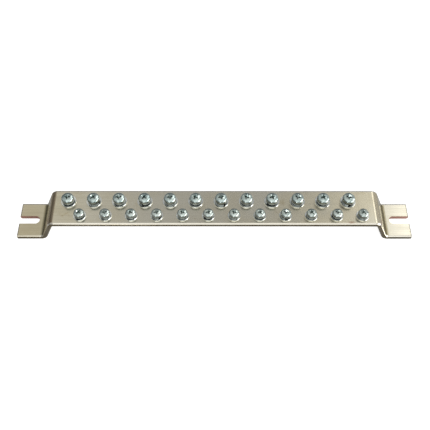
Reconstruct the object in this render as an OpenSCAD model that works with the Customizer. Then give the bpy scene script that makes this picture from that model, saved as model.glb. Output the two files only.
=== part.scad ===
// Earth terminal bar: a joggled copper strap on two slotted feet, carrying a back row of
// large terminal screws and a front row of small ones, each with a spring and a flat washer.
// Millimetres. X runs along the bar, Y across it from the small row to the large row, and
// Z up. The origin is on the surface that the feet stand on, midway between their ends.

/* [Strap] */
// Width of the strap
strap_w = 32; // [28:1:45]
// Thickness of the strap
strap_t = 4; // [3:0.5:5]
// Height of the raised part's top face above the undersides of the feet
raise = 24; // [20:1:40]
// Angle through which each bend turns the strap
bend_angle = 66; // [60:6:66]
// Inside radius of each bend
bend_r = 2; // [1.5:0.5:4]

/* [Feet] */
// Flat length of each foot, from its bend to its end
foot_len = 19.5; // [17:0.5:30]
// Width of the open slot in each foot
slot_w = 7; // [5:0.5:9]
// Depth of the slot, from the end of the foot to its round end
slot_depth = 16.5; // [8:0.5:17]
// Corner radius of the feet, seen from above
corner_r = 1.5; // [0.5:0.5:4]
// Radius worn onto the upper and lower edges of the feet's ends
end_r = 1.2; // [0.4:0.2:1.4]

/* [Terminals] */
// Distance between neighbouring screws of one row
pitch = 20; // [16:1:30]
// Distance from the outermost screws to where the strap starts to bend
end_margin = 10; // [9:1:30]
// Distance of the large row from the strap's back edge
large_edge = 11; // [9:0.5:12]
// Distance of the small row from the strap's front edge
small_edge = 8; // [7:0.5:9]
// Chamfer at both mouths of each tapped hole
hole_chamfer = 0.4; // [0.1:0.1:0.8]

/* [Large screws] */
// Root diameter of the large screws' thread
large_shank_d = 4; // [3.4:0.1:4.4]
// Length of a large screw below its head
large_len = 12; // [10:1:16]
// Diameter of a large screw's head
large_head_d = 9.6; // [8:0.1:10]
// Height of a large screw's head
large_head_h = 3.7; // [3:0.1:4.5]
// Width across the cross recess of a large screw
large_recess_d = 5.2; // [4:0.1:5.6]
// Outer diameter of the large flat washers
large_washer_d = 12; // [11:0.5:13]
// Outer diameter of the large spring washers
large_spring_d = 9.2; // [8.6:0.1:10]
// Thickness of the wire of the large spring washers
large_spring_t = 1.3; // [1:0.1:1.6]
// Bore of both kinds of large washer
large_bore_d = 5.3; // [5.1:0.1:5.8]

/* [Small screws] */
// Root diameter of the small screws' thread
small_shank_d = 3.1; // [2.6:0.1:3.4]
// Length of a small screw below its head
small_len = 10; // [8:1:14]
// Diameter of a small screw's head
small_head_d = 8; // [7:0.1:8.4]
// Height of a small screw's head
small_head_h = 3.1; // [2.6:0.1:3.6]
// Width across the cross recess of a small screw
small_recess_d = 4.4; // [3.6:0.1:4.8]
// Outer diameter of the small flat washers
small_washer_d = 10; // [9:0.5:11]
// Outer diameter of the small spring washers
small_spring_d = 7.6; // [7:0.1:8]
// Thickness of the wire of the small spring washers
small_spring_t = 1; // [0.8:0.1:1.3]
// Bore of both kinds of small washer
small_bore_d = 4.3; // [4.1:0.1:4.7]

/* [Washers and fits] */
// Thickness of the flat washers
washer_t = 1; // [0.8:0.1:1.6]
// How far the ends of a spring washer spring apart, in wire thicknesses
spring_rise = 1; // [0.3:0.1:1.2]
// Angle of the split in a spring washer
split_angle = 16; // [8:1:30]
// Gap left at each seat of a spring washer
seat_gap = 0.05; // [0.02:0.01:0.2]
// Gap between a screw's shank and the wall of its tapped hole
thread_gap = 0.1; // [0.05:0.01:0.2]

/* [Hidden] */
$fn = 64;
terminals = 12;
eps = 0.01;
half = strap_t / 2;

edge_steps = 12;

// Lengths along the bar
pattern_len = (terminals - 0.5) * pitch;
plate_len = pattern_len + 2 * end_margin;
drop = raise - strap_t;
turn_r = 2 * bend_r + strap_t;
web_len = (drop - turn_r * (1 - cos(bend_angle))) / sin(bend_angle);
web_run = turn_r * sin(bend_angle) + web_len * cos(bend_angle);
bar_len = plate_len + 2 * (web_run + foot_len);

// Places of the two rows across the bar
large_y = strap_w / 2 - large_edge;
small_y = small_edge - strap_w / 2;

// Proportions of the screws
dome = 2;
shoulder = 0.34;
arc_steps = 8;
wing = 0.2;
recess_depth = 0.62;
recess_floor = 0.3;
tip_chamfer = 0.6;
washer_chamfer = 0.15;
spring_steps = 24;
head_turn = 137.5;

function spring_h(t) = t * (1 + spring_rise) + 2 * seat_gap;
function large_x(i) = -pattern_len / 2 + i * pitch;
function small_x(i) = -pattern_len / 2 + (i + 0.5) * pitch;
function two_digits(n) = n < 10 ? str("0", n) : str(n);
function name(base, i) = str(base, "_", two_digits(i + 1));
function names(base) = [for (i = [0:terminals - 1]) name(base, i)];

// Cross-section of the strap: X is its thickness and Y its width, with rolled round edges
module strap_section() {
    flat = strap_w / 2 - half;
    polygon([
        for (s = [1, -1])
            for (k = [0:edge_steps])
                let (a = s * 90 - 90 + 180 * k / edge_steps)
                [half * cos(a), s * flat + half * sin(a)]
    ]);
}

// Straight run of strap along +X, centred on its thickness
module run(len) {
    rotate([0, 90, 0])
        linear_extrude(len)
            strap_section();
}

// Bend that leaves the origin along +X and turns the strap towards -Z. Its children start
// where it ends, along the strap's new direction
module bend() {
    mid_r = bend_r + half;
    translate([0, 0, -mid_r])
        rotate([0, -90, -90])
            rotate_extrude(angle = bend_angle)
                translate([mid_r, 0])
                    strap_section();
    translate([0, 0, -mid_r])
        rotate([0, bend_angle, 0])
            translate([0, 0, mid_r])
                children();
}

// Joggle from the raised part to the end of one foot, starting at the origin along +X
module leg() {
    bend() {
        run(web_len);
        translate([web_len, 0, 0])
            mirror([0, 0, 1])
                bend()
                    run(foot_len);
    }
}

// Everything beyond the rounded end of a foot, which is cut away. Seen from above the
// corners have corner_r, and seen from the side the edges have end_r
module foot_end_waste() {
    reach = 2 * corner_r + 2 * end_r;
    translate([bar_len / 2, 0, half]) {
        difference() {
            translate([-corner_r, -strap_w, -strap_t])
                cube([reach, 2 * strap_w, 2 * strap_t]);
            translate([-2 * corner_r, -strap_w / 2 + corner_r, -2 * strap_t])
                cube([2 * corner_r, strap_w - 2 * corner_r, 4 * strap_t]);
            for (s = [-1, 1])
                translate([-corner_r, s * (strap_w / 2 - corner_r), 0])
                    cylinder(r = corner_r, h = 4 * strap_t, center = true);
        }
        for (s = [-1, 1])
            difference() {
                translate([-end_r, -strap_w, s > 0 ? half - end_r : -half - end_r])
                    cube([2 * end_r, 2 * strap_w, 2 * end_r]);
                translate([-end_r, 0, s * (half - end_r)])
                    rotate([90, 0, 0])
                        cylinder(r = end_r, h = 3 * strap_w, center = true);
            }
    }
}

// Open slot with a round inner end, running out through the end of the foot
module foot_slot() {
    translate([bar_len / 2 - slot_depth + slot_w / 2, 0, -strap_t]) {
        cylinder(d = slot_w, h = 3 * strap_t);
        translate([0, -slot_w / 2, 0])
            cube([slot_depth, slot_w, 3 * strap_t]);
    }
}

// Tapped hole at its minor diameter, with both mouths chamfered
module tapped_hole(d) {
    mouth = d / 2 + hole_chamfer;
    translate([0, 0, raise - strap_t - eps])
        cylinder(d = d, h = strap_t + 2 * eps);
    translate([0, 0, raise - hole_chamfer])
        cylinder(r1 = d / 2, r2 = mouth + eps, h = hole_chamfer + eps);
    translate([0, 0, raise - strap_t - eps])
        cylinder(r1 = mouth + eps, r2 = d / 2, h = hole_chamfer + eps);
}

module bar() {
    color([0.67, 0.65, 0.57])
        difference() {
            union() {
                translate([-plate_len / 2, 0, raise - half])
                    run(plate_len);
                for (m = [0, 1])
                    mirror([m, 0, 0])
                        translate([plate_len / 2, 0, raise - half])
                            leg();
            }
            for (m = [0, 1])
                mirror([m, 0, 0]) {
                    foot_end_waste();
                    foot_slot();
                }
            for (i = [0:terminals - 1]) {
                translate([large_x(i), large_y, 0])
                    tapped_hole(large_shank_d + 2 * thread_gap);
                translate([small_x(i), small_y, 0])
                    tapped_hole(small_shank_d + 2 * thread_gap);
            }
        }
}

// Points of an arc about c, from angle a to angle b
function arc(c, r, a, b) =
    [for (k = [0:arc_steps]) c + r * [cos(a + (b - a) * k / arc_steps), sin(a + (b - a) * k / arc_steps)]];

// Half profile of a screw: chamfered shank below z = 0, and above it a pan head with an
// upright side, a round shoulder and a dome that meets it smoothly
module screw_profile(shank_d, len, d, h) {
    dome_r = dome * d / 2;
    shoulder_r = shoulder * d / 2;
    inset = d / 2 - shoulder_r;
    lift = sqrt(pow(dome_r - shoulder_r, 2) - inset * inset);
    shoulder_z = h - dome_r + lift;
    lean = atan2(lift, inset);
    polygon(concat(
        [[0, -len], [shank_d / 2 - tip_chamfer, -len], [shank_d / 2, tip_chamfer - len]],
        [[shank_d / 2, 0], [d / 2, 0]],
        arc([inset, shoulder_z], shoulder_r, 0, lean),
        arc([0, h - dome_r], dome_r, lean, 90)
    ));
}

// Cross recess cut down from the top of a head: two wings with sloping ends about a cone
module cross_recess(d, head_d, head_h) {
    wing_w = wing * d;
    depth = recess_depth * head_h;
    floor_w = recess_floor * d;
    over = eps + head_h / 10;
    slope = (d - floor_w) / 2 / depth;
    translate([0, 0, head_h - depth]) {
        for (a = [0, 90])
            rotate([90, 0, a])
                linear_extrude(wing_w, center = true)
                    polygon([
                        [-floor_w / 2, 0],
                        [floor_w / 2, 0],
                        [d / 2 + slope * over, depth + over],
                        [-d / 2 - slope * over, depth + over]
                    ]);
        cylinder(d1 = floor_w, d2 = 2.2 * wing_w + floor_w / 2, h = depth + over);
    }
}

// Terminal screw whose head rests at z = 0, turned about its own axis
module screw(shank_d, len, head_d, head_h, recess_d, turn) {
    color([0.78, 0.8, 0.8])
        difference() {
            rotate_extrude()
                screw_profile(shank_d, len, head_d, head_h);
            rotate([0, 0, turn])
                cross_recess(recess_d, head_d, head_h);
        }
}

module large_screw(i) {
    translate([large_x(i), large_y, raise + washer_t + spring_h(large_spring_t)])
        screw(large_shank_d, large_len, large_head_d, large_head_h, large_recess_d, head_turn * i);
}

module small_screw(i) {
    translate([small_x(i), small_y, raise + washer_t + spring_h(small_spring_t)])
        screw(small_shank_d, small_len, small_head_d, small_head_h, small_recess_d, head_turn * (i + 0.4));
}

// Corner k of a spring washer's wire at station n. The wire falls as it goes round
// anticlockwise, so that its ends bite when the screw is turned back
function wire_corner(d, bore, t, n, k) =
    let (a = split_angle / 2 + (360 - split_angle) * n / spring_steps)
    let (r = k == 0 || k == 3 ? bore / 2 : d / 2)
    let (z = spring_rise * t * (1 - n / spring_steps) + (k < 2 ? 0 : t))
    [r * cos(a), r * sin(a), z];

// Spring washer with its lower end resting at z = 0 and its split turned by an angle
module spring_washer(d, bore, t, turn) {
    last = 4 * spring_steps;
    points = [for (n = [0:spring_steps]) for (k = [0:3]) wire_corner(d, bore, t, n, k)];
    sides = [
        for (n = [0:spring_steps - 1])
            for (k = [0:3])
                for (half_face = [0, 1])
                    let (a = 4 * n + k)
                    let (b = 4 * n + (k + 1) % 4)
                    half_face == 0 ? [a, b, b + 4] : [a, b + 4, a + 4]
    ];
    ends = [[0, 3, 2], [0, 2, 1], [last, last + 1, last + 2], [last, last + 2, last + 3]];
    color([0.74, 0.76, 0.76])
        rotate([0, 0, turn])
            polyhedron(points = points, faces = concat(sides, ends));
}

module large_spring_washer(i) {
    translate([large_x(i), large_y, raise + washer_t + seat_gap])
        spring_washer(large_spring_d, large_bore_d, large_spring_t, 200 + head_turn * i);
}

module small_spring_washer(i) {
    translate([small_x(i), small_y, raise + washer_t + seat_gap])
        spring_washer(small_spring_d, small_bore_d, small_spring_t, 250 + head_turn * i);
}

// Stamped flat washer whose upper edge is eased
module flat_washer(d, bore) {
    color([0.8, 0.8, 0.77])
        rotate_extrude()
            polygon([
                [bore / 2, 0],
                [d / 2, 0],
                [d / 2, washer_t - washer_chamfer],
                [d / 2 - washer_chamfer, washer_t],
                [bore / 2, washer_t]
            ]);
}

module large_flat_washers() {
    for (i = [0:terminals - 1])
        translate([large_x(i), large_y, raise])
            flat_washer(large_washer_d, large_bore_d);
}

module small_flat_washers() {
    for (i = [0:terminals - 1])
        translate([small_x(i), small_y, raise])
            flat_washer(small_washer_d, small_bore_d);
}

bar();
for (i = [0:terminals - 1]) {
    large_screw(i);
    small_screw(i);
    large_spring_washer(i);
    small_spring_washer(i);
}
large_flat_washers();
small_flat_washers();
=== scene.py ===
"""Earth terminal bar: a plated copper strap on two joggled feet, with a row of large and a
row of small zinc-plated terminal screws, each over a spring washer and a flat washer.

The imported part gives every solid. This script gives each one its finish, adds the screws'
threads where they come out under the strap, and sets up the camera and the light.

Everything is in metres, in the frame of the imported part: X along the bar, Y across it,
Z up, and the feet standing on Z = 0.
"""

import math

import bpy
from mathutils import Matrix, Vector


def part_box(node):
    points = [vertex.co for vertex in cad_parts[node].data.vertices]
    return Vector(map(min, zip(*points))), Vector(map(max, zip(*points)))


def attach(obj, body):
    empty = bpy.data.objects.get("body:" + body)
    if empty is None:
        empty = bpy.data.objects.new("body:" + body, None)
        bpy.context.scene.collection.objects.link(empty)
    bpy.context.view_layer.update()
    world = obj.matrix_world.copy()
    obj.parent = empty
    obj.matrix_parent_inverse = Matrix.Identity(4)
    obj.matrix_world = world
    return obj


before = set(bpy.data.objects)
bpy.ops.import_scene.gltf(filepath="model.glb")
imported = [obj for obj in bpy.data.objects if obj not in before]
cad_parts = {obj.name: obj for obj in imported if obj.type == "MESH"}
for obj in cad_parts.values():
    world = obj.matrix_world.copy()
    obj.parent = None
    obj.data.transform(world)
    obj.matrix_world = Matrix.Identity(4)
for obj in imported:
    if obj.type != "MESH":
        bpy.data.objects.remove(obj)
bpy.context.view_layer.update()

MM = 0.001

# ---------------------------------------------------------------------------
# Sizes: the outer ones come from the frame, the rest repeat the part's source
# ---------------------------------------------------------------------------
bar_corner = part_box("bar")[1]
bar_half = bar_corner.x
strap_top = bar_corner.z
strap_thick = 4 * MM
strap_under = strap_top - strap_thick
slot_half_width = 3.5 * MM
slot_depth = 16.5 * MM
slot_bottom = bar_half - slot_depth

# the threads stop short of the screws' tips and of the strap's underside
THREAD_ABOVE_TIP = 0.35 * MM
THREAD_BELOW_STRAP = 0.15 * MM


def nodes_named(start):
    """Names of the nodes that begin with a word, in order."""
    return sorted(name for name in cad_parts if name.startswith(start))


def centre_of(node):
    """Middle of a node's box."""
    low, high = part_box(node)
    return (low + high) / 2


def srgb(r, g, b):
    """Display colour, 0 to 255, as a linear colour."""
    def one(c):
        c = c / 255
        return c / 12.92 if c <= 0.04045 else ((c + 0.055) / 1.055) ** 2.4
    return (one(r), one(g), one(b), 1.0)


def grey(level):
    """Neutral linear colour."""
    return (level, level, level, 1)


# ---------------------------------------------------------------------------
# Node trees
# ---------------------------------------------------------------------------
# sockets of the Mix node's colour mode
MIX_FACTOR, MIX_A, MIX_B, MIX_RESULT = 0, 6, 7, 2


class Tree:
    """Shorthand for placing and wiring the nodes of one tree."""

    def __init__(self, tree):
        self.tree = tree

    def plug(self, node, socket, value):
        """Links an output to one of the node's inputs, or sets it to a plain value."""
        if isinstance(value, bpy.types.NodeSocket):
            self.tree.links.new(value, node.inputs[socket])
        else:
            node.inputs[socket].default_value = value

    def add(self, kind, settings=None, **inputs):
        """New node with its settings, and its inputs by name with _ for a space."""
        node = self.tree.nodes.new(kind)
        for key, value in (settings or {}).items():
            setattr(node, key, value)
        for key, value in inputs.items():
            self.plug(node, key.replace("_", " "), value)
        return node

    def place(self, group, **inputs):
        """Outputs of a shared effect, placed with its own values."""
        return self.add("ShaderNodeGroup", {"node_tree": group}, **inputs).outputs

    def math(self, operation, *values):
        node = self.add("ShaderNodeMath", {"operation": operation})
        for i, value in enumerate(values):
            self.plug(node, i, value)
        return node.outputs[0]

    def product(self, *masks):
        """All the masks multiplied together."""
        result = masks[0]
        for mask in masks[1:]:
            result = self.math("MULTIPLY", result, mask)
        return result

    def range(self, value, low, high, to_low=0.0, to_high=1.0, smooth=False):
        """Value carried from one range to another, and held at its ends."""
        node = self.add("ShaderNodeMapRange",
                        {"interpolation_type": "SMOOTHSTEP" if smooth else "LINEAR"},
                        Value=value, From_Min=low, From_Max=high,
                        To_Min=to_low, To_Max=to_high)
        return node.outputs[0]

    def band(self, value, start, full, ebb, end):
        """Mask that rises from start to full, and falls again from ebb to end."""
        return self.product(self.range(value, start, full, smooth=True),
                            self.range(value, end, ebb, smooth=True))

    def mix(self, factor, a, b, blend="MIX"):
        node = self.add("ShaderNodeMix", {"data_type": "RGBA", "blend_type": blend})
        self.plug(node, MIX_FACTOR, factor)
        self.plug(node, MIX_A, a)
        self.plug(node, MIX_B, b)
        return node.outputs[MIX_RESULT]

    def noise(self, vector, scale, detail=3.0, rough=0.5, distortion=0.0):
        node = self.add("ShaderNodeTexNoise", Vector=vector, Scale=scale, Detail=detail,
                        Roughness=rough, Distortion=distortion)
        return node.outputs["Fac"]

    def stretch(self, vector, scale, shift=(0, 0, 0)):
        return self.add("ShaderNodeMapping", Vector=vector, Scale=scale,
                        Location=shift).outputs[0]

    def split(self, vector):
        return self.add("ShaderNodeSeparateXYZ", Vector=vector).outputs

    def bump(self, shader, height, strength, distance):
        node = self.add("ShaderNodeBump", Height=height, Strength=strength, Distance=distance)
        self.plug(shader, "Normal", node.outputs[0])


# ---------------------------------------------------------------------------
# Shared effects, each a node group that is built once
# ---------------------------------------------------------------------------
def new_group(name, inputs, outputs):
    """Shader node group with named sockets; returns its tree, its inputs and its output."""
    group = bpy.data.node_groups.new(name, "ShaderNodeTree")
    for label, kind, value in inputs:
        socket = group.interface.new_socket(
            name=label, in_out="INPUT", socket_type="NodeSocket" + kind)
        if value is not None:
            socket.default_value = value
    for label, kind in outputs:
        group.interface.new_socket(
            name=label, in_out="OUTPUT", socket_type="NodeSocket" + kind)
    source = group.nodes.new("NodeGroupInput")
    sink = group.nodes.new("NodeGroupOutput")
    source.location, sink.location = (-900, 0), (700, 0)
    return Tree(group), source.outputs, sink


def make_tone_group():
    """Broad, cloudy change of tone, as on plating that has aged unevenly."""
    t, given, sink = new_group(
        "Cloudy tone",
        [("Coordinates", "Vector", None), ("Scale", "Float", 20.0),
         ("Colour A", "Color", grey(0.8)), ("Colour B", "Color", grey(0.6)),
         ("Low", "Float", 0.35), ("High", "Float", 0.65)],
        [("Colour", "Color"), ("Mask", "Float")])
    cloud = t.noise(given["Coordinates"], given["Scale"], 4.0, 0.6, 0.3)
    mask = t.range(cloud, given["Low"], given["High"], smooth=True)
    t.plug(sink, "Colour", t.mix(mask, given["Colour A"], given["Colour B"]))
    t.plug(sink, "Mask", mask)
    return t.tree


def make_grain_group():
    """Fine lines left by drawing or turning: noise drawn out along one direction."""
    t, given, sink = new_group(
        "Drawn grain",
        [("Coordinates", "Vector", None), ("Stretch", "Vector", (1, 1, 1)),
         ("Scale", "Float", 400.0)],
        [("Lines", "Float")])
    drawn = t.stretch(given["Coordinates"], given["Stretch"])
    t.plug(sink, "Lines", t.noise(drawn, given["Scale"], 3.0, 0.55))
    return t.tree


def make_speck_group():
    """Small scattered marks: pits, dust and drying stains."""
    t, given, sink = new_group(
        "Scattered specks",
        [("Coordinates", "Vector", None), ("Scale", "Float", 200.0),
         ("Share", "Float", 0.2)],
        [("Specks", "Float")])
    cells = t.add("ShaderNodeTexVoronoi", {"feature": "F1"},
                  Vector=given["Coordinates"], Scale=given["Scale"])
    lot = t.add("ShaderNodeSeparateColor", Color=cells.outputs["Color"]).outputs[0]
    chosen = t.math("LESS_THAN", lot, given["Share"])
    spot = t.range(cells.outputs["Distance"], 0.42, 0.12, smooth=True)
    t.plug(sink, "Specks", t.product(chosen, spot))
    return t.tree


tone_group = make_tone_group()
grain_group = make_grain_group()
speck_group = make_speck_group()


# ---------------------------------------------------------------------------
# Materials
# ---------------------------------------------------------------------------
def new_material(name):
    """Material with a Principled shader; returns it with its tree and its shader."""
    material = bpy.data.materials.new(name)
    material.use_nodes = True
    return material, Tree(material.node_tree), material.node_tree.nodes["Principled BSDF"]


def plated_strap_material():
    """Tin plating over drawn copper flat, browned on the outside of the upper bends, with
    bare copper where the slots were cut. Painted light: a painted highlight and painted shade
    along the rolled edges and the rounded ends of the feet, and painted shade inside the
    lower bends, on the left foot and in a line just inside the rolled edges."""
    material, t, shader = new_material("tinned copper strap")
    at = t.add("ShaderNodeTexCoord").outputs["Object"]
    x, y = t.split(at)[:2]
    along = t.math("ABSOLUTE", x)
    across = t.math("ABSOLUTE", y)
    facing = t.split(t.add("ShaderNodeNewGeometry").outputs["Normal"])
    sideways = t.math("ABSOLUTE", facing[1])
    upright = t.math("ABSOLUTE", facing[2])

    # the plating: cloudy, with faint stains and the lines of the drawn flat
    tone = t.place(tone_group, Coordinates=at, Scale=16.0, Low=0.38, High=0.66,
                   Colour_A=srgb(224, 220, 204), Colour_B=srgb(214, 207, 184))
    stains = t.place(tone_group, Coordinates=at, Scale=90.0, Low=0.58, High=0.8,
                     Colour_A=srgb(255, 255, 255), Colour_B=srgb(226, 217, 196))
    colour = t.mix(0.7, tone["Colour"], stains["Colour"], "MULTIPLY")
    lines = t.place(grain_group, Coordinates=at, Stretch=(0.02, 1, 1), Scale=900.0)["Lines"]
    line_strength = t.range(lines, 0.3, 0.7, 0.0, 0.14)
    colour = t.mix(line_strength, colour, srgb(120, 112, 90))

    # wiping marks across the strap, only near its right end
    wiped = t.place(grain_group, Coordinates=at, Stretch=(1, 0.04, 1), Scale=500.0)["Lines"]
    near_end = t.band(x, 96 * MM, 120 * MM, 124 * MM, 128 * MM)
    wipe_strength = t.product(near_end, t.range(wiped, 0.45, 0.7, 0.0, 0.22))
    colour = t.mix(wipe_strength, colour, srgb(150, 142, 122))

    # browned on the outside of the upper bends, least on the right, and painted shade
    # in the crease inside the lower bends
    patchy = t.range(t.noise(at, 120.0), 0.2, 0.7, 0.75, 1.0)
    outside = t.band(along, 124.8 * MM, 126.5 * MM, 129.5 * MM, 131 * MM)
    fainter = t.range(x, -100 * MM, 100 * MM, 1.0, 0.2)
    colour = t.mix(t.product(fainter, outside, patchy), colour, srgb(148, 132, 108))
    # painted shade: the crease inside each lower bend is darkened
    inside = t.band(along, 132 * MM, 134.5 * MM, 138.8 * MM, 140.5 * MM)
    colour = t.mix(t.product(inside, patchy), colour, srgb(142, 134, 104))

    # painted highlight along the rolled edges where they start to turn down, and painted
    # shade below it, on the rolled edges and on the rounded ends of the feet
    painted_edge_highlight = t.band(sideways, 0.06, 0.20, 0.60, 0.78)
    colour = t.mix(t.product(painted_edge_highlight, 0.9), colour, srgb(252, 248, 238))
    foot_end = t.product(t.range(along, 157.2 * MM, 158 * MM, smooth=True),
                         t.range(upright, 0.9, 0.6, smooth=True))
    painted_edge_shade = t.math("MAXIMUM", t.range(sideways, 0.55, 0.82, smooth=True), foot_end)
    colour = t.mix(t.product(painted_edge_shade, patchy), colour, srgb(122, 112, 92))

    # painted shade on the left foot, a yellowish darkening, most at the front
    left_foot_shade = t.product(t.range(x, -138.5 * MM, -141 * MM, smooth=True),
                       t.range(y, 12 * MM, -12 * MM, 0.45, 1.0, smooth=True))
    colour = t.mix(left_foot_shade, colour, srgb(236, 232, 222), "MULTIPLY")

    # a faint painted dark line just inside the rolled edges, painted shade that sets off the
    # painted highlight
    edge_line_shade = t.band(across, 14.0 * MM, 14.4 * MM, 14.9 * MM, 15.2 * MM)
    colour = t.mix(t.product(edge_line_shade, 0.35), colour, srgb(140, 132, 112))

    # one small ragged brown stain by the front edge, longer along the strap than across
    stain_x, stain_y = -0.106, 0.0137
    per_metre_x, per_metre_y = 260, 700
    spot = t.stretch(at, (per_metre_x, per_metre_y, 0),
                     (stain_x * per_metre_x, stain_y * per_metre_y, 0))
    reach = t.add("ShaderNodeVectorMath", {"operation": "LENGTH"})
    t.plug(reach, 0, spot)
    ragged = t.math("ADD", reach.outputs["Value"], t.noise(at, 800.0, 2.0))
    stained = t.range(ragged, 1.5, 0.7, 0.0, 0.5, smooth=True)
    colour = t.mix(stained, colour, srgb(140, 96, 66))

    # bare sheared copper on the walls of the open slots
    cut = t.product(t.math("LESS_THAN", across, slot_half_width + 0.1 * MM),
                    t.math("GREATER_THAN", along, slot_bottom - 0.2 * MM),
                    t.math("LESS_THAN", upright, 0.35))
    sheared = t.place(grain_group, Coordinates=at, Stretch=(1, 1, 0.1),
                      Scale=1200.0)["Lines"]
    copper = t.mix(t.range(sheared, 0.3, 0.7), srgb(236, 198, 182), srgb(210, 156, 140))
    colour = t.mix(cut, colour, copper)

    t.plug(shader, "Base Color", colour)
    shader.inputs["Metallic"].default_value = 1.0
    t.plug(shader, "Roughness", t.math("ADD", t.range(tone["Mask"], 0, 1, 0.18, 0.24),
                                       t.range(lines, 0.3, 0.7, -0.03, 0.05)))
    t.bump(shader, lines, 0.12, 0.05 * MM)
    return material


def zinc_material(name, light, dark, rough, shade_heights=None):
    """Zinc plating with fine turning marks and a few dull spots. shade_heights gives the two
    heights above the strap between which the painted shade under a head fades out."""
    material, t, shader = new_material(name)
    at = t.add("ShaderNodeTexCoord").outputs["Object"]
    tone = t.place(tone_group, Coordinates=at, Scale=260.0, Low=0.35, High=0.7,
                   Colour_A=light, Colour_B=dark)
    specks = t.place(speck_group, Coordinates=at, Scale=1400.0, Share=0.12)["Specks"]
    colour = t.mix(t.product(specks, 0.35), tone["Colour"], srgb(120, 118, 112))
    if shade_heights:
        # painted shade on the lower part of the screw, under and round the rim of its head
        under_head_shade = t.band(t.split(at)[2], strap_top - 0.5 * MM, strap_top,
                      strap_top + shade_heights[0], strap_top + shade_heights[1])
        colour = t.mix(t.product(under_head_shade, 0.85), colour, srgb(112, 116, 112))
    lines = t.place(grain_group, Coordinates=at, Stretch=(1, 1, 6), Scale=1500.0)["Lines"]
    t.plug(shader, "Base Color", colour)
    shader.inputs["Metallic"].default_value = 1.0
    t.plug(shader, "Roughness",
           t.math("ADD", t.range(tone["Mask"], 0, 1, rough, rough + 0.08),
                  t.range(lines, 0.3, 0.7, -0.02, 0.04)))
    t.bump(shader, lines, 0.15, 0.02 * MM)
    return material


strap_material = plated_strap_material()
large_screw_material = zinc_material(
    "bright zinc large screw", srgb(192, 205, 202), srgb(156, 173, 172), 0.13,
    shade_heights=(5.0 * MM, 6.4 * MM))
small_screw_material = zinc_material(
    "bright zinc small screw", srgb(196, 206, 202), srgb(162, 175, 172), 0.13,
    shade_heights=(4.2 * MM, 5.3 * MM))
# darker than the flat washers: partly the spring steel's own zinc tone, partly painted shade
# between the head and the flat washer
spring_zinc_and_shade_material = zinc_material(
    "zinc spring steel", srgb(170, 176, 174), srgb(136, 142, 140), 0.2)
washer_material = zinc_material(
    "zinc flat washer", srgb(236, 239, 236), srgb(212, 216, 212), 0.12)

FINISHES = {
    "bar": strap_material,
    "large_screw": large_screw_material,
    "small_screw": small_screw_material,
    "large_spring_washer": spring_zinc_and_shade_material,
    "small_spring_washer": spring_zinc_and_shade_material,
    "large_flat_washers": washer_material,
    "small_flat_washers": washer_material,
}


def dress(node, material):
    """A CAD node keeps its mesh and takes a finished material."""
    slots = node.data.materials
    if not slots:
        slots.append(material)
    for i in range(len(slots)):
        slots[i] = material


for kind, finish in FINISHES.items():
    for node_name in nodes_named(kind):
        dress(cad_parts[node_name], finish)


# ---------------------------------------------------------------------------
# Threads of the screws, under the strap
# ---------------------------------------------------------------------------
def deselect():
    if bpy.context.object and bpy.context.object.mode != "OBJECT":
        bpy.ops.object.mode_set(mode="OBJECT")
    bpy.ops.object.select_all(action="DESELECT")


def apply_place(piece):
    """Puts the piece's place into its mesh."""
    deselect()
    piece.select_set(True)
    bpy.context.view_layer.objects.active = piece
    bpy.ops.object.transform_apply(location=True, rotation=True, scale=True)


def make_thread(name, material, root_r, crest_r, pitch, low, high):
    """Helical ridge of a screw thread, standing on the shank between two heights."""
    whole_turns = int((high - low) / pitch - 1)
    middle = low + pitch / 2
    deselect()
    bpy.ops.mesh.primitive_circle_add(vertices=4, radius=pitch / 2, fill_type="NOTHING",
                                      location=(0, 0, middle),
                                      rotation=(math.pi / 2, 0, 0))
    thread = bpy.context.object
    thread.name = name
    apply_place(thread)
    # the four corners become the section of the ridge, wide at its root, narrow at its crest
    half_root, half_crest = pitch * 0.42, pitch * 0.07
    corners = [(root_r, middle - half_root), (crest_r, middle - half_crest),
               (crest_r, middle + half_crest), (root_r, middle + half_root)]
    for vertex, (r, z) in zip(thread.data.vertices, corners):
        vertex.co = (r, 0, z)
    winding = thread.modifiers.new("winding", "SCREW")
    winding.axis = "Z"
    winding.angle = 2 * math.pi
    winding.screw_offset = pitch
    winding.iterations = whole_turns
    winding.steps = winding.render_steps = 24
    winding.use_merge_vertices = False
    winding.use_smooth_shade = False
    bpy.ops.object.modifier_apply(modifier=winding.name)
    # both ends of the ridge are closed, and its faces turned outwards
    bpy.ops.object.mode_set(mode="EDIT")
    bpy.ops.mesh.select_all(action="DESELECT")
    bpy.ops.mesh.select_non_manifold()
    bpy.ops.mesh.fill_holes(sides=8)
    bpy.ops.mesh.select_all(action="SELECT")
    bpy.ops.mesh.normals_make_consistent(inside=False)
    bpy.ops.object.mode_set(mode="OBJECT")
    bpy.ops.object.shade_smooth_by_angle(angle=math.radians(30))
    thread.data.materials.append(material)
    return thread


def copy_to(model, name, x, y):
    """Copy of a finished piece with its own mesh, moved in that mesh."""
    piece = bpy.data.objects.new(name, model.data.copy())
    bpy.context.scene.collection.objects.link(piece)
    piece.data.transform(Matrix.Translation((x, y, 0)))
    return piece


def add_threads(kind, material, root_r, crest_r, pitch):
    """One thread under the strap for each screw of a row."""
    screws = nodes_named(kind + "_screw")
    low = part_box(screws[0])[0].z + THREAD_ABOVE_TIP
    model = make_thread(kind + "_thread_model", material, root_r, crest_r, pitch, low,
                        strap_under - THREAD_BELOW_STRAP)
    for i, screw in enumerate(screws):
        middle = centre_of(screw)
        thread = copy_to(model, f"{kind}_thread_{i + 1:02d}", middle.x, middle.y)
        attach(thread, "root")
    bpy.data.objects.remove(model)


# the roots lie just inside the shanks
add_threads("large", large_screw_material, root_r=1.97 * MM, crest_r=2.5 * MM, pitch=0.8 * MM)
add_threads("small", small_screw_material, root_r=1.52 * MM, crest_r=2.0 * MM, pitch=0.7 * MM)


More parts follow.
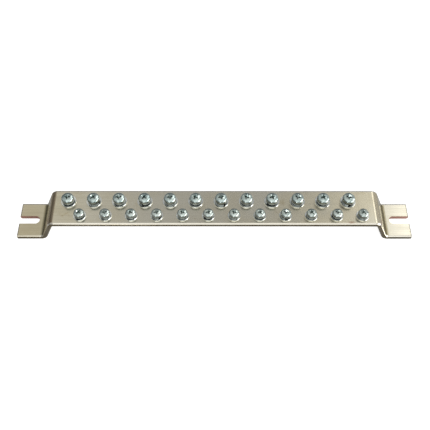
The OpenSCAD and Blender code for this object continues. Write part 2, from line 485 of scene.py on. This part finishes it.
# ---------------------------------------------------------------------------
# Camera
# ---------------------------------------------------------------------------
def make_camera(target, elevation, yaw, roll, distance, lens):
    """Camera that looks down and along +Y at the target. The angles are in degrees."""
    e, a, r = (math.radians(v) for v in (elevation, yaw, roll))
    forward = Vector((math.sin(a) * math.cos(e), math.cos(a) * math.cos(e), -math.sin(e)))
    right = Vector((math.cos(a), -math.sin(a), 0))
    up = right.cross(forward)
    turned_right = right * math.cos(r) + up * math.sin(r)
    turned_up = up * math.cos(r) - right * math.sin(r)
    axes = Matrix((turned_right, turned_up, -forward)).transposed().to_4x4()
    axes.translation = target - forward * distance
    data = bpy.data.cameras.new("camera")
    data.lens = lens
    data.sensor_width = 36
    data.clip_start = 0.01
    data.clip_end = 50
    camera = bpy.data.objects.new("camera", data)
    bpy.context.scene.collection.objects.link(camera)
    camera.matrix_world = axes
    bpy.context.scene.camera = camera


make_camera(target=Vector((0.28, 1.06, 10)) * MM, elevation=59.5, yaw=0.43, roll=0.41,
            distance=0.4807, lens=49.93)


# ---------------------------------------------------------------------------
# Floor, world and lamps
# ---------------------------------------------------------------------------
def make_floor():
    """Pale floor a hair below the feet. It looks white, and metal mirrors it dark."""
    deselect()
    bpy.ops.mesh.primitive_plane_add(size=6, location=(0, 0, -0.05 * MM))
    floor = bpy.context.object
    floor.name = "floor"
    apply_place(floor)
    material, t, shader = new_material("pale floor")
    shader.inputs["Base Color"].default_value = grey(0.42)
    shader.inputs["Roughness"].default_value = 0.9
    shader.inputs["Specular IOR Level"].default_value = 0.0
    rays = t.add("ShaderNodeLightPath").outputs
    mirrored = t.math("MAXIMUM", rays["Is Glossy Ray"], rays["Is Transmission Ray"])
    glow = t.math("ADD", t.product(rays["Is Camera Ray"], 0.9), t.product(mirrored, 0.05))
    shader.inputs["Emission Color"].default_value = grey(1)
    t.plug(shader, "Emission Strength", glow)
    floor.data.materials.append(material)


def make_world():
    """Soft surroundings, told by the direction that a ray leaves in: dim near the horizon
    and behind the middle, pale overhead and in a strip down the front, with a warm patch up
    on the left, a brighter one up on the right and a long low softbox from the right round
    to the front. The camera itself sees plain white."""
    world = bpy.data.worlds.new("studio")
    world.use_nodes = True
    bpy.context.scene.world = world
    t = Tree(world.node_tree)
    background = world.node_tree.nodes["Background"]
    x, y, z = t.split(t.add("ShaderNodeTexCoord").outputs["Generated"])[:3]

    # up and behind
    left = t.band(x, -0.06, -0.33, -0.42, -0.55)
    right = t.product(t.band(x, 0.225, 0.36, 0.45, 0.58),
                      t.range(y, 0.85, 0.70, smooth=True))
    behind = t.mix(left, grey(0.44), (0.765, 0.745, 0.69, 1))
    behind = t.mix(right, behind, (2.2, 2.17, 2.1, 1))

    # overhead, and up and before
    overhead = t.mix(t.range(x, 0.0, 0.25, smooth=True), (0.72, 0.72, 0.70, 1),
                     (1.0, 0.99, 0.95, 1))
    strip = t.range(t.math("ABSOLUTE", x), 0.44, 0.30, smooth=True)
    before = t.mix(strip, grey(0.42), (1.25, 1.25, 1.22, 1))
    above = t.mix(t.range(y, 0.0, -0.30, smooth=True), overhead, before)
    above = t.mix(t.range(y, 0.22, 0.36, smooth=True), above, behind)

    # near the horizon
    low = t.mix(t.range(x, 0.3, 0.6, smooth=True), grey(0.22), (0.62, 0.60, 0.57, 1))
    level = t.mix(t.range(z, 0.35, 0.58, smooth=True), low, above)
    softbox = t.product(t.range(x, 0.48, 0.60, smooth=True),
                        t.range(y, 0.36, 0.24, smooth=True),
                        t.band(z, 0.00, 0.08, 0.64, 0.74))
    level = t.mix(softbox, level, (3.2, 3.2, 3.15, 1))

    seen = t.add("ShaderNodeLightPath").outputs["Is Camera Ray"]
    t.plug(background, "Color", t.mix(seen, level, grey(1)))
    background.inputs["Strength"].default_value = 1.0


def make_lamp(name, place, size, watts):
    """Rectangular lamp that faces the middle of the bar."""
    data = bpy.data.lights.new(name, "AREA")
    data.shape = "RECTANGLE"
    data.size, data.size_y = size
    data.energy = watts
    lamp = bpy.data.objects.new(name, data)
    bpy.context.scene.collection.objects.link(lamp)
    lamp.location = place
    lamp.rotation_euler = (-Vector(place)).to_track_quat("-Z", "Y").to_euler()


make_floor()
make_world()
make_lamp("right front softbox", place=(0.95, -0.40, 0.52), size=(0.40, 0.40), watts=2.5)
make_lamp("left front panel", place=(-0.22, -0.95, 0.40), size=(0.15, 0.2), watts=0.7)
make_lamp("overhead softbox", place=(0.0, -0.15, 1.4), size=(1.2, 0.5), watts=0.5)

bpy.context.scene.view_settings.view_transform = "Standard"
